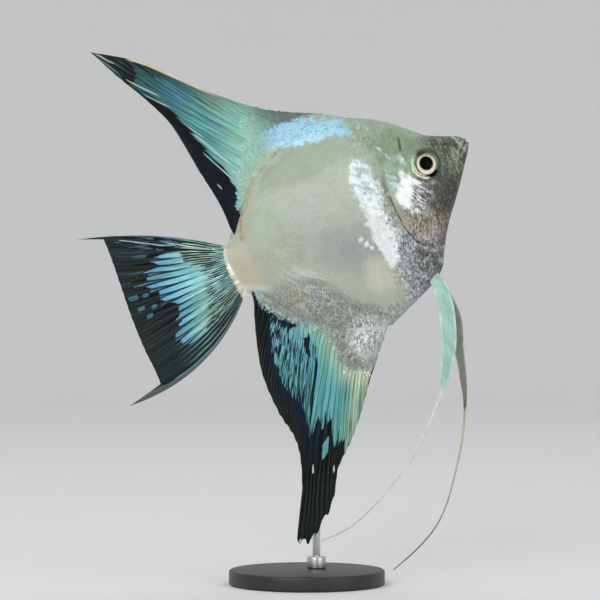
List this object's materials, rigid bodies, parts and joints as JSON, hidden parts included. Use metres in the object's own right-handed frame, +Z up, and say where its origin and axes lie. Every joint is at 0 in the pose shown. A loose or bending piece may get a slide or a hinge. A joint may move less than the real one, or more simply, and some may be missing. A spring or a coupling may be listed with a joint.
{
  "type": "freshwater angelfish",
  "caption": "Freshwater angelfish, a still life-size display model pitched nose up with fins spread, held on a flat disc base by one upright rod.",
  "frame": {"origin": "centre of the stand base's underside", "axes": "+Z up; the fish's snout points to +X, pitched 28 degrees up; +Y is its left side"},
  "size_m": [0.1306, 0.052, 0.1763],
  "materials": {
    "skin": "wet fish skin, silver grey with olive on the head and pale blue along the back",
    "eye": "clear wet cornea over a pale iris ring and black pupil",
    "fin": "thin membrane, iridescent blue-green between darker rays",
    "pelvic_fin": "pale aqua blade with a whitish thread",
    "clear_fin": "nearly clear membrane",
    "stand_base": "satin black paint",
    "stand_rod": "satin steel"
  },
  "bodies": {
    "root": {"head": "skin", "upper_jaw": "skin", "lower_jaw": "skin", "gill_cover_right": "skin", "gill_cover_left": "skin", "trunk": "skin", "caudal_peduncle": "skin", "eye_right": "eye", "eye_left": "eye", "dorsal_fin_spines": "fin", "dorsal_fin_long_rays": "fin", "dorsal_fin_rear_rays": "fin", "anal_fin_spines": "fin", "anal_fin_front_rays": "fin", "anal_fin_long_rays": "fin", "anal_fin_rear_rays": "fin", "caudal_fin_upper_ray": "fin", "caudal_fin_web": "fin", "caudal_fin_lower_ray": "fin", "pelvic_fin_right": "pelvic_fin", "pelvic_filament_right_upper": "pelvic_fin", "pelvic_filament_right_lower": "pelvic_fin", "pelvic_fin_left": "pelvic_fin", "pelvic_filament_left_upper": "pelvic_fin", "pelvic_filament_left_lower": "pelvic_fin", "pectoral_fin_right": "clear_fin", "pectoral_fin_left": "clear_fin", "stand_base": "stand_base", "stand_collar": "stand_rod", "stand_rod": "stand_rod"}
  },
  "joints": []
}
